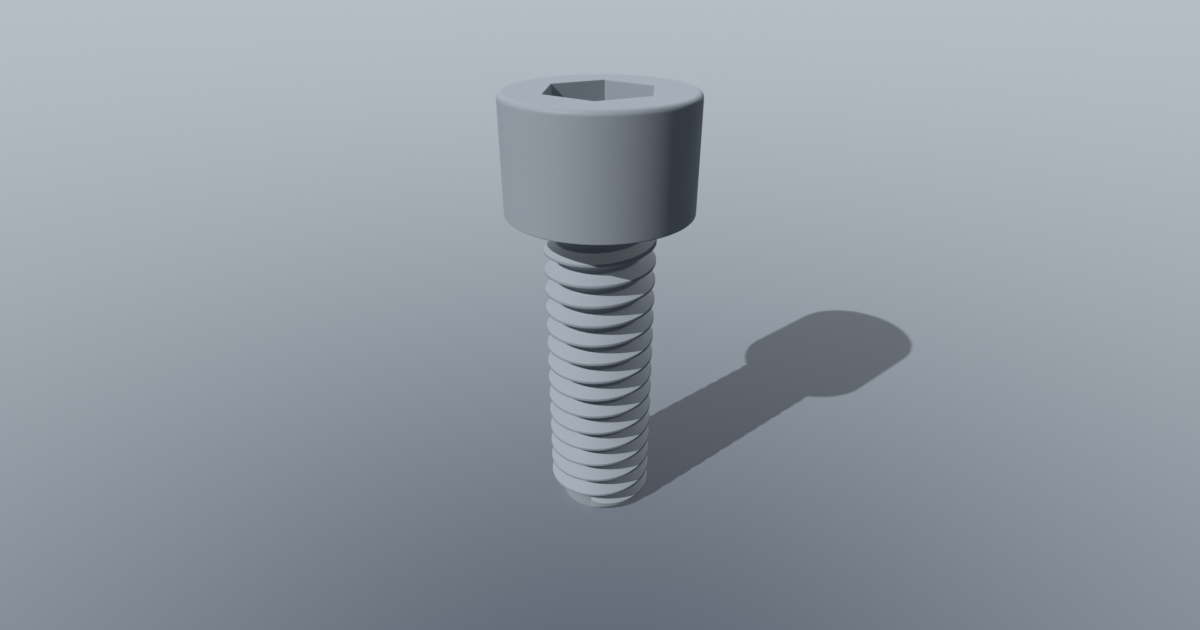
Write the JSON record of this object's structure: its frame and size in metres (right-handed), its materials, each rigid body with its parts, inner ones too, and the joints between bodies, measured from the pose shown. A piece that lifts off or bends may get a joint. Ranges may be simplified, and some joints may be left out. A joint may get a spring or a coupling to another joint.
{
  "type": "socket head cap screw",
  "caption": "Cylindrical head with a hexagonal key socket on a fully threaded shank with a chamfered end, for clamping machine parts.",
  "frame": {"origin": "middle of the flat end face of the shank, at the bottom of the screw", "axes": "+Z along the screw's axis from the threaded end to the head; +X and +Y have no feature of their own, and the nearest corner of the socket is 25.2 degrees from +X"},
  "size_m": [0.0068, 0.0068, 0.0169],
  "materials": {
    "coated_steel": "matte silver-grey zinc flake coating over alloy steel"
  },
  "bodies": {
    "root": {"cap_screw": "coated_steel"}
  },
  "joints": []
}
